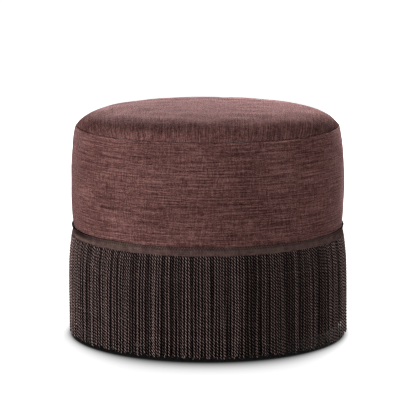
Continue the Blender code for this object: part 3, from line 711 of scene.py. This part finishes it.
# Dust cover: black spun cloth under the base board, stepped down over the hem of the side
# band and stapled to the board all round, with a few soft creases between the staples.
DUST_TOP = 0.0261
DUST_LOW = 0.0246
DUST_THICKNESS = 0.0008
STEP_OUTER = 0.1965
STEP_INNER = 0.1905
DUST_RADIUS = 0.2225
DUST_BLACK = (0.012, 0.012, 0.013, 1.0)
DUST_GREY = (0.05, 0.05, 0.052, 1.0)
DUST_ROUND = full_round(360)
under_out = np.concatenate([np.linspace(0.01, STEP_INNER, 30), np.linspace(STEP_OUTER, DUST_RADIUS, 8)])
under_up = np.interp(under_out, [0.0, STEP_INNER, STEP_OUTER, DUST_RADIUS],
                     [DUST_TOP, DUST_TOP, DUST_LOW, DUST_LOW])
creases = 0.0002 * (soft_waves(DUST_ROUND, under_out[:, None], (8, 90, 9), 0.06, 71) - 1)
cloth_out = np.concatenate([under_out, under_out[::-1]])
cloth_up = np.concatenate([under_up, under_up[::-1] - DUST_THICKNESS])
both_creases = np.concatenate([creases, creases[::-1]])
dust_cloth = turned_piece("dust_cover_cloth", cloth_out[:, None], cloth_up[:, None] + both_creases,
                          DUST_ROUND, poles=(DUST_TOP - 0.0002, DUST_TOP - 0.0010))
spun, tree, shader = new_material("black_dust_cloth", Specular_IOR_Level=0.25)
place = object_place(tree)
bonds = add_node(tree, "ShaderNodeTexVoronoi", {"Vector": place, "Scale": 620.0}).outputs["Distance"]
threads = speckle(tree, place, (900.0, 300.0, 300.0), 3.0)
dress(tree, shader, mixed(tree, threads, DUST_BLACK, DUST_GREY),
      spread(tree, bonds, 0.1, 0.5, 0.55, 0.9), bonds, 0.0003)
dust_cloth.data.materials.append(spun)
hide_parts("dust_cover")

# Staples: a ring of galvanised wire staples, shot through dust cover and hem into the base
# board. Each is a wire with two bends, and none stands quite square to the edge.
STAPLE_COUNT = 72
STAPLE_RADIUS = 0.2165
STAPLE_WIDTH = 0.010
STAPLE_LEG = 0.0022
WIRE = 0.00045


def unit(vectors):
    """Each vector again at a length of 1."""
    return vectors / np.linalg.norm(vectors, axis=-1, keepdims=True)


def tubes_along(path, side, out, across, outward):
    """Points of tubes along paths, each so far across and so far outward from its path.

    path and the unit vectors side and out are (tubes, rings, 3). The distances across and
    outward are (tubes, rings, corners), or those of one ring for all.
    """
    points = path[..., None, :] + side[..., None, :] * across[..., None]
    return points + out[..., None, :] * outward[..., None]


def tube_piece(name, tubes, ends, cloth_step=None):
    """A piece of many tubes, from their points (tubes, rings, corners, 3) and their end points.

    cloth_step is how far it is on the flat yarn from corner to corner and from ring to ring.
    """
    count, rows, columns = tubes.shape[:3]
    points = np.concatenate([tubes.reshape(count, -1, 3), ends], axis=1)
    row, column = grid_corners(rows, columns, False)
    fans = end_fans(rows, columns)
    each = np.arange(count)[:, None, None] * points.shape[1]
    faces = [(each + row * columns + column % columns).reshape(-1, 4), (each + fans).reshape(-1, 3)]
    cloths = None
    if cloth_step:
        flat = np.stack([column * cloth_step[0], row * cloth_step[1]], axis=-1)
        cloths = [np.tile(flat, (count, 1, 1)), np.zeros((count * len(fans), 3, 2))]
    return new_piece(name, points.reshape(-1, 3), faces, cloths)


lean = np.random.default_rng(81).normal(0.0, 0.10, STAPLE_COUNT)
bearing = full_round(STAPLE_COUNT) + 0.02
outward = out_from_axis(1.0, bearing, 0.0)
sideways = out_from_axis(1.0, bearing + lean + np.pi / 2, 0.0)
crown_at = DUST_LOW - DUST_THICKNESS - 0.0005
bend_side = np.array([-1.0, -1.0, -0.86, 0.86, 1.0, 1.0]) * STAPLE_WIDTH / 2
bend_up = np.array([STAPLE_LEG, 0.0005, 0.0, 0.0, 0.0005, STAPLE_LEG])
wires = (outward * STAPLE_RADIUS)[:, None] + sideways[:, None] * bend_side[:, None]
wires = wires + np.array([0.0, 0.0, 1.0]) * (crown_at + bend_up)[:, None]
facing_out = np.broadcast_to(outward[:, None], wires.shape)
across_wire = np.cross(unit(np.gradient(wires, axis=1)), facing_out)
hexagon = np.arange(6) * np.pi / 3
rings = tubes_along(wires, across_wire, facing_out, WIRE * np.cos(hexagon), WIRE * np.sin(hexagon))
staples = tube_piece("dust_cover_staples", rings, wires[:, [0, -1]])
staples.data.materials.append(zinc)

# Heading tape of the fringe: a brown woven braid glued and tacked round the cover, its two
# ends butted at the back. The upper edge is a row of small loops over a row of openings,
# and the lower edge flares out over the heads of the cords.
CORD_COUNT = 312
CORD_PITCH = 2 * np.pi / CORD_COUNT
TAPE_FACE = 0.2439
TAPE_INSIDE = 0.2433
LOOP_ROW = 0.1989
OPENING_ROW = 0.1966
RIB_TOP = 0.1955
FLARE_TOP = 0.1905
BACK_ROWS = 4
ROLLED_AT = np.radians(203.0)
BRAID_PALE = (0.190, 0.123, 0.112, 1.0)
BRAID = (0.105, 0.062, 0.057, 1.0)
BRAID_DARK = (0.018, 0.010, 0.010, 1.0)
BRAID_OLIVE = (0.125, 0.088, 0.066, 1.0)

# From the loops down: a rolled top edge, loops and openings once a cord, ribs twice a cord,
# and the flare. At one place the top edge has rolled over further, and one dip is the joint
TAPE_ROUND = BACK + full_round(CORD_COUNT * 6)
tape_up = np.linspace(TAPE_TOP, TAPE_BOTTOM, 32)[:, None]
back_up = np.linspace(TAPE_BOTTOM + 0.0002, TAPE_TOP - 0.0002, BACK_ROWS)[:, None]
tape_rows = np.concatenate([tape_up, back_up])
flare = 0.0011 * ramp(tape_up, FLARE_TOP, -0.005) ** 1.5
tape_out = TAPE_FACE + flare + 0.0015 * bell(tape_up, 0.2007, 0.0016)
tape_out = tape_out + 0.0004 * bell(tape_up, 0.1862, 0.0006)
beat = np.cos(TAPE_ROUND * CORD_COUNT)
half_beat = np.cos(TAPE_ROUND * CORD_COUNT * 2) * (tape_up < RIB_TOP)
rolled = bell(np.angle(np.exp(1j * (TAPE_ROUND - ROLLED_AT))), 0.0, 0.24)
loops = 0.0006 * np.clip(beat, -0.3, 1.0) * bell(tape_up, LOOP_ROW, 0.0010)
openings = np.clip(0.5 + beat, 0.0, 1.0) * bell(tape_up, OPENING_ROW, 0.0012)
seat_line = 0.0003 * soft_waves(TAPE_ROUND, 0.0, (4, 60, 7), 1.0, 91)
joint = 0.0009 * bell(np.sin((TAPE_ROUND - BACK) / 2) * 2 * WALL_RADIUS, 0.0, 0.0007)
tape_radii = tape_out + loops - 0.0009 * openings + 0.00010 * half_beat
tape_radii = tape_radii - joint + 0.0006 * bell(tape_up, 0.1995, 0.0022) * rolled
tape_radii = np.concatenate([tape_radii, np.full((BACK_ROWS, TAPE_ROUND.size), TAPE_INSIDE)])
tape_heights = tape_rows + seat_line
tape_down = np.append(TAPE_TOP - tape_rows, 0.0)
braid_tape = turned_piece("heading_braid", tape_radii, tape_heights, TAPE_ROUND,
                          flat_strip(TAPE_ROUND, tape_down))
# Painted shade along the top edge and over the place where it has rolled, with a painted highlight below
# that roll; painted highlights on the loops, painted shade in the openings, and painted light and shade
# on the ribs
roll_shade_and_highlight = -0.45 * bell(tape_up, TAPE_TOP, 0.0012)
roll_shade_and_highlight = roll_shade_and_highlight - 0.55 * rolled * ramp(tape_up, FLARE_TOP, 0.002)
roll_shade_and_highlight = roll_shade_and_highlight + 0.40 * rolled * bell(tape_up, 0.1880, 0.0009)
braid_light_and_shade = 0.84 + 0.45 * half_beat + 1700.0 * loops - 0.95 * openings + roll_shade_and_highlight
braid_light_and_shade = np.concatenate([braid_light_and_shade, np.full((BACK_ROWS, TAPE_ROUND.size), 0.5)])
paint_points(braid_tape, "braid_light_and_shade", np.clip(braid_light_and_shade, 0.03, 2.0))

# Yarn of braid and cords: Cloth runs across the yarn in X and along it in Y. Fine fibres lie
# along it, slanted as it is twisted, over uneven dye.
yarn_fibres, given, result = new_group("yarn_fibres", SURFACE, Cloth=ORIGIN, Yarn=BRAID,
                                       Raised=BRAID_PALE, Sunken=BRAID_DARK, Slant=0.0)
flat = axes(yarn_fibres, given["Cloth"])
slanted = worked_out(yarn_fibres, "MULTIPLY_ADD", flat["Y"], given["Slant"], flat["X"])
strand = add_node(yarn_fibres, "ShaderNodeCombineXYZ", {"X": slanted, "Y": flat["Y"]}).outputs[0]
fibres = speckle(yarn_fibres, strand, (2600.0, 160.0, 1.0), 2.0)
dye = speckle(yarn_fibres, given["Cloth"], (90.0, 60.0, 1.0), 2.0)
tone = worked_out(yarn_fibres, "MULTIPLY_ADD", fibres, 1.5, -0.75)
tone = worked_out(yarn_fibres, "ADD", tone, worked_out(yarn_fibres, "MULTIPLY_ADD", dye, 0.8, -0.4))
colour = mixed(yarn_fibres, spread(yarn_fibres, tone, 0.0, 0.5), given["Yarn"], given["Raised"])
yarn_fibres.links.new(
    mixed(yarn_fibres, spread(yarn_fibres, tone, 0.0, -0.5), colour, given["Sunken"]), result["Color"])
yarn_fibres.links.new(fibres, result["Height"])
yarn_fibres.links.new(spread(yarn_fibres, fibres, 0.3, 0.7, 0.5, 0.75), result["Roughness"])

braid, tree, shader = new_material("brown_braid", Specular_IOR_Level=0.0)
flat = cloth_place(tree)
woven = placed(tree, yarn_fibres, Cloth=flat, Yarn=BRAID, Raised=BRAID_PALE, Sunken=BRAID_DARK,
               Slant=0.3)
streaks = speckle(tree, flat, (45.0, 1100.0, 1.0), 1.0)
streaks = spread(tree, streaks, 0.3, 0.7, 0.72, 1.30)
tint = worked_out(tree, "MULTIPLY", painted(tree, "braid_light_and_shade"), streaks)
patches = spread(tree, speckle(tree, flat, (14.0, 60.0, 1.0), 1.0), 0.5, 0.75, 0.0, 0.7)
faded = mixed(tree, patches, woven["Color"], BRAID_OLIVE)
dyed = placed(tree, toned, Color=faded, Tone=tint)["Color"]
dress(tree, shader, dyed, woven["Roughness"], woven["Height"], 0.0004)
braid_tape.data.materials.append(braid)
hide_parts("heading_tape")

# Bullion fringe: 312 cords of soft brown yarn in twelve lengths. Each is a long loop of
# yarn that twists back on itself into two plies, so it ends in a small closed loop. The
# cords leave the tape side by side, bulge over its edge and hang free, in uneven bunches.
LENGTHS = 12
CORD_WIDTH = 0.0032
CORD_SPACE = 0.0045
WIDEST_GAP = 0.0062
SET_BACK = 0.0030
SET_BACK_SHARE = 0.22
LAY = 0.0111
RINGS_A_TURN = 9
END_RINGS = (0.0088, 0.0055, 0.0028, 0.0010, 0.0002)
FLOOR_GAP = 0.0055
HEAD_HEIGHT = 0.1950
DEPTH_SHADE = 190.0
# The fringe's front: how far out it stands at each of these heights, from the ends up
FALL_HEIGHTS = (0.0065, 0.0400, 0.0915, 0.1465, 0.1645, 0.1765, 0.1805, 0.1868, 0.1950)
FALL_RADII = (0.2512, 0.2513, 0.2513, 0.2508, 0.2502, 0.2479, 0.2461, 0.2430, 0.2424)
FALL_ROUND = 0.2495
LEVELS = 34
SETTLING_ROUNDS = 60
CORD_BROWN = (0.160, 0.110, 0.103, 1.0)
CORD_PALE = (0.27, 0.20, 0.19, 1.0)
CORD_DARK = (0.045, 0.028, 0.026, 1.0)


def eased(values):
    """Every cord's line made smoother: each level but the ends is half itself, a quarter of
    the level above and a quarter of the level below."""
    smooth = values.copy()
    smooth[:, 1:-1] = (values[:, :-2] + 2 * values[:, 1:-1] + values[:, 2:]) / 4
    return smooth


# Where each cord hangs at each level from its head to its end: side_at is measured along the
# round of the fringe and out_at from its axis. Bunches, a stray lean and a sway move it
# sideways, and some cords hang further back, never two of these side by side. free is 0
# where the tape holds a cord and rises to 1 below it
draw = np.random.default_rng(101)
down_share = np.linspace(0.0, 1.0, LEVELS)[None, :]
cord = np.arange(CORD_COUNT)[:, None]
home = (cord + 0.5) * CORD_PITCH
cord_end = FLOOR_GAP + np.abs(draw.normal(0.0, 0.0026, (CORD_COUNT, 1)))
height_at = HEAD_HEIGHT + (cord_end - HEAD_HEIGHT) * down_share
front = np.interp(height_at, FALL_HEIGHTS, FALL_RADII)
free = ramp(height_at, TAPE_BOTTOM - 0.004, -0.05)
bunching = 0.0014 * soft_waves(home, height_at, (18, 120, 6), 0.16, 103)
stray = draw.normal(0.0, 0.0009, (CORD_COUNT, 1)) * (1 - height_at / HEAD_HEIGHT) * 2
sway = 0.0010 * np.sin(height_at * draw.uniform(16, 44, (CORD_COUNT, 1))
                       + draw.uniform(0, 6.283, (CORD_COUNT, 1)))
front = front + 0.0009 * np.cos(home) * np.clip(1 - height_at / 0.15, 0.0, 1.0)
side_at = cord * CORD_PITCH * FALL_ROUND + free * (bunching + stray + sway)
depth_at = np.abs(draw.normal(0, 0.0014, (CORD_COUNT, 1)))
set_back = draw.random((CORD_COUNT, 1)) < SET_BACK_SHARE
set_back = set_back & ~np.roll(set_back, 1, axis=0)
depth_at = depth_at + SET_BACK * set_back
out_at = front - free * depth_at
nearest = WALL_RADIUS + 0.0005 + CORD_WIDTH / 2
length_round = 2 * np.pi * FALL_ROUND

# Neighbours push each other apart where they crowd and draw together where a gap opens, round
# after round, and none goes into the cover or out of the fringe's front
for _ in range(SETTLING_ROUNDS):
    for step in (1, 2, 3):
        away_side = np.roll(side_at, -step, axis=0) - side_at
        away_side = away_side + length_round * (np.roll(cord, -step, axis=0) < cord)
        away_out = np.roll(out_at, -step, axis=0) - out_at
        apart = np.sqrt(away_side**2 + away_out**2) + 1e-9
        crowded = np.clip(CORD_SPACE - apart, 0.0, None)
        crowded = crowded - np.clip(apart - WIDEST_GAP * step, 0.0, None)
        push = 0.25 * crowded / apart * (free > 0)
        side_at = side_at - push * away_side + np.roll(push * away_side, step, axis=0)
        out_at = out_at - push * away_out + np.roll(push * away_out, step, axis=0)
    out_at = np.where(free > 0, np.clip(out_at, np.minimum(nearest, front), front + 0.0002), front)
    side_at, out_at = eased(side_at), eased(out_at)

# Rings along each cord, closer at its end, where END_RINGS says what share of its length
# they stand above it. Each has a frame that looks outward and sideways
ring_count = int((HEAD_HEIGHT - FLOOR_GAP) / LAY * RINGS_A_TURN) + 1
ring = np.linspace(0.0, 1.0, ring_count)
ring = np.concatenate([ring[:-2], 1 - np.array(END_RINGS)])
at = ring * (LEVELS - 1)
low = np.clip(at.astype(int), 0, LEVELS - 2)
part = at - low
line_side = side_at[:, low] * (1 - part) + side_at[:, low + 1] * part
line_out = out_at[:, low] * (1 - part) + out_at[:, low + 1] * part
line_up = HEAD_HEIGHT + (cord_end - HEAD_HEIGHT) * ring[None, :]
to_end = line_up - cord_end
hook = draw.normal(0.0, 0.0011, (CORD_COUNT, 1)) * np.clip(1 - to_end / 0.007, 0.0, 1.0) ** 2
bearing = (line_side + hook) / FALL_ROUND + 0.5 * CORD_PITCH
path = out_from_axis(line_out, bearing, line_up)
tangent = unit(np.gradient(path, axis=1))
radial = out_from_axis(1.0, bearing, 0.0)
sidelong = unit(np.cross(tangent, radial))
radial = np.cross(sidelong, tangent)

# Two plies side by side: the outline of two touching rounds is the half width times the
# cosine's size, sampled where it is round, and it turns with the lay of the cord
ply_angles = np.radians([0.0, 50.0, 90.0, 130.0, 180.0, 230.0, 270.0, 310.0])
ply_reach = np.maximum(np.abs(np.cos(ply_angles)) ** 1.1, 0.10)
lay_of_cord = LAY * draw.normal(1.0, 0.04, (CORD_COUNT, 1))
start_turn = np.cumsum(draw.normal(0.0, 0.70, (CORD_COUNT, 1)), axis=0)
twist = start_turn + 2 * np.pi * (HEAD_HEIGHT - line_up) / lay_of_cord
bulb = 1 + 0.14 * bell(to_end, 0.0022, 0.0012)
rounding = np.sqrt(np.clip(1 - (1 - np.clip(to_end / 0.0017, 0, 1)) ** 2, 0.0, 1.0))
pressed = np.interp(line_up, [0.1800, 0.1862, 0.1900], [1.0, 0.50, 0.20])
girth = CORD_WIDTH / 2 * bulb * np.maximum(rounding, 0.12)
around = ply_angles + twist[..., None]
reach = girth[..., None] * ply_reach
points = tubes_along(path, sidelong, radial, reach * np.cos(around),
                     reach * np.sin(around) * pressed[..., None])

# The yarn is painted light on the crown of each ply and painted dark in the furrow between
# plies, painted shade darkens the sides that look away and the cords that hang further back,
# and each cord's tone also differs at random
cord_yarn, tree, shader = new_material("brown_bullion_yarn", Specular_IOR_Level=0.0)
yarn = placed(tree, yarn_fibres, Cloth=cloth_place(tree), Yarn=CORD_BROWN, Raised=CORD_PALE,
              Sunken=CORD_DARK, Slant=0.9)
ply_light_and_shade = spread(tree, painted(tree, "ply_crown"), 0.55, 0.98, 0.0, 2.9)
tint = worked_out(tree, "MULTIPLY", painted(tree, "cord_shade_and_tone"), ply_light_and_shade)
dyed = placed(tree, toned, Color=yarn["Color"], Tone=tint)["Color"]
dress(tree, shader, dyed, yarn["Roughness"], yarn["Height"], 0.0003)
per_length = CORD_COUNT // LENGTHS
crown_of_ring = [1.0, 0.40, 0.0, 0.40] * 2
crown_of_point = np.tile(np.append(np.tile(crown_of_ring, path.shape[1]), [0.0, 0.5]), per_length)
cord_shade_and_tone = np.clip(1.12 - DEPTH_SHADE * depth_at[:, 0] + draw.normal(0.0, 0.11, CORD_COUNT), 0.34, 1.30)
turned_away_shade = 0.36 + 0.86 * np.clip(np.sin(around), 0.0, 1.0)
shade_and_tone_of_point = np.append(turned_away_shade.reshape(CORD_COUNT, -1), np.ones((CORD_COUNT, 2)), axis=1)
shade_and_tone_of_point = shade_and_tone_of_point * cord_shade_and_tone[:, None]

for number in range(LENGTHS):
    mine = slice(number * per_length, (number + 1) * per_length)
    cords = tube_piece(f"fringe_cords_{number + 1}", points[mine], path[mine][:, [0, -1]],
                       cloth_step=(CORD_WIDTH * 0.3, LAY / RINGS_A_TURN))
    paint_points(cords, "cord_shade_and_tone", shade_and_tone_of_point[mine])
    paint_points(cords, "ply_crown", crown_of_point)
    cords.data.materials.append(cord_yarn)
    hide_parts(f"fringe_{number + 1}")

# The studio: a pale floor that runs out of sight, a large low lamp behind the stool and small
# ones to the left, to the right and high in front, and the camera at the photograph's height
# and distance.
CAMERA_PLACE = (0.0005, -4.2, 0.9595)
CAMERA_DROP = 0.1727
LENS = 204.37
SENSOR_WIDTH = 36.0
FLOOR_RADIUS = 60
FLOOR_CORNERS = 64
FLOOR_GREY = (0.20, 0.20, 0.20, 1.0)
WHITE = (1.0, 1.0, 1.0, 1.0)
SHADE_RADII = (0.252, 0.30)
SHADE_TONES = (0.015, 0.25)
GLOW_STARTS = 0.244
GLOW_STEEPNESS = 21.0
WORLD_STRENGTH = 0.06
AIM_HEIGHT = 0.25


def seen_rays(tree):
    """1 for the rays that show a background: from the camera, in a mirror or through glass."""
    rays = add_node(tree, "ShaderNodeLightPath").outputs
    seen = worked_out(tree, "MAXIMUM", rays["Is Camera Ray"], rays["Is Glossy Ray"])
    return worked_out(tree, "MAXIMUM", seen, rays["Is Transmission Ray"])


camera_data = bpy.data.cameras.new("camera")
camera_data.lens = LENS
camera_data.sensor_width = SENSOR_WIDTH
camera_data.clip_end = 200.0
camera = add_object("camera", camera_data)
camera.location = CAMERA_PLACE
camera.rotation_euler = (np.pi / 2 - CAMERA_DROP, 0.0, 0.0)
bpy.context.scene.camera = camera

floor_mesh = bpy.data.meshes.new("floor")
rim = out_from_axis(FLOOR_RADIUS, full_round(FLOOR_CORNERS), 0.0)
floor_mesh.from_pydata(rim.tolist(), [], [list(range(FLOOR_CORNERS))])
floor = add_object("floor", floor_mesh)

# Lamps light the floor as a grey. What is seen of it is painted darker towards the stool, a
# painted shadow, and a glow of its own takes it to white further out: 1 less e to minus a power
# of the steepness times the distance beyond the glow's start. To the left and right it starts a
# little further out and is much steeper, which keeps the painted shadow short there
paper, tree, shader = new_material("pale_floor", Roughness=0.9, Specular_IOR_Level=0.1)
seen = seen_rays(tree)
place = object_place(tree)
out = add_node(tree, "ShaderNodeVectorMath", {0: place}, operation="LENGTH").outputs["Value"]
pale = spread(tree, out, *SHADE_RADII, *SHADE_TONES)
shade = add_node(tree, "ShaderNodeCombineColor", {0: pale, 1: pale, 2: pale}).outputs[0]
tree.links.new(mixed(tree, seen, FLOOR_GREY, shade), shader.inputs["Base Color"])
aside = worked_out(tree, "ABSOLUTE", worked_out(tree, "DIVIDE", axes(tree, place)["X"], out))
washed = worked_out(tree, "POWER", aside, 4.5)
start = worked_out(tree, "MULTIPLY_ADD", washed, 0.0028, GLOW_STARTS)
clear = worked_out(tree, "MAXIMUM", worked_out(tree, "SUBTRACT", out, start), 0.0)
steep = worked_out(tree, "MULTIPLY_ADD", washed, 112.0, GLOW_STEEPNESS)
clear = worked_out(tree, "POWER", worked_out(tree, "MULTIPLY", clear, steep), 1.15)
faded = worked_out(tree, "EXPONENT", worked_out(tree, "MULTIPLY", clear, -1.0))
glow = worked_out(tree, "MULTIPLY", seen, worked_out(tree, "SUBTRACT", 1.0, faded))
shader.inputs["Emission Color"].default_value = WHITE
tree.links.new(glow, shader.inputs["Emission Strength"])
floor.data.materials.append(paper)

world = bpy.data.worlds.new("studio")
world.use_nodes = True
bpy.context.scene.world = world
tree = world.node_tree
strength = spread(tree, seen_rays(tree), 0.0, 1.0, WORLD_STRENGTH, 1.0)
tree.links.new(strength, tree.nodes["Background"].inputs["Strength"])
tree.nodes["Background"].inputs["Color"].default_value = WHITE


def soft_light(name, bearing, height, distance, size, strength):
    """A square lamp aimed at the stool; strength is how bright it makes white that faces it.

    The bearing is in degrees from the front, anticlockwise seen from above.
    """
    lamp = bpy.data.lights.new(name, "AREA")
    lamp.size = size
    angle = np.radians(bearing)
    place = Vector((distance * np.sin(angle), -distance * np.cos(angle), height))
    heading = Vector((0.0, 0.0, AIM_HEIGHT)) - place
    lamp.energy = strength * np.pi**2 * heading.length**2
    lamp_object = add_object(name, lamp)
    lamp_object.location = place
    lamp_object.rotation_euler = heading.to_track_quat("-Z", "Y").to_euler()


soft_light("key_light", bearing=168.0, height=0.80, distance=2.8, size=1.2, strength=2.85)
soft_light("left_light", bearing=-66.0, height=0.22, distance=3.0, size=0.5, strength=0.92)
soft_light("right_light", bearing=72.0, height=0.30, distance=3.0, size=0.5, strength=0.28)
soft_light("front_light", bearing=0.0, height=2.30, distance=3.2, size=0.5, strength=0.38)

bpy.context.scene.view_settings.view_transform = "Standard"
# The denoiser blurs the twist of the cords when it smooths its guide pictures first
bpy.context.scene.cycles.denoising_prefilter = "NONE"
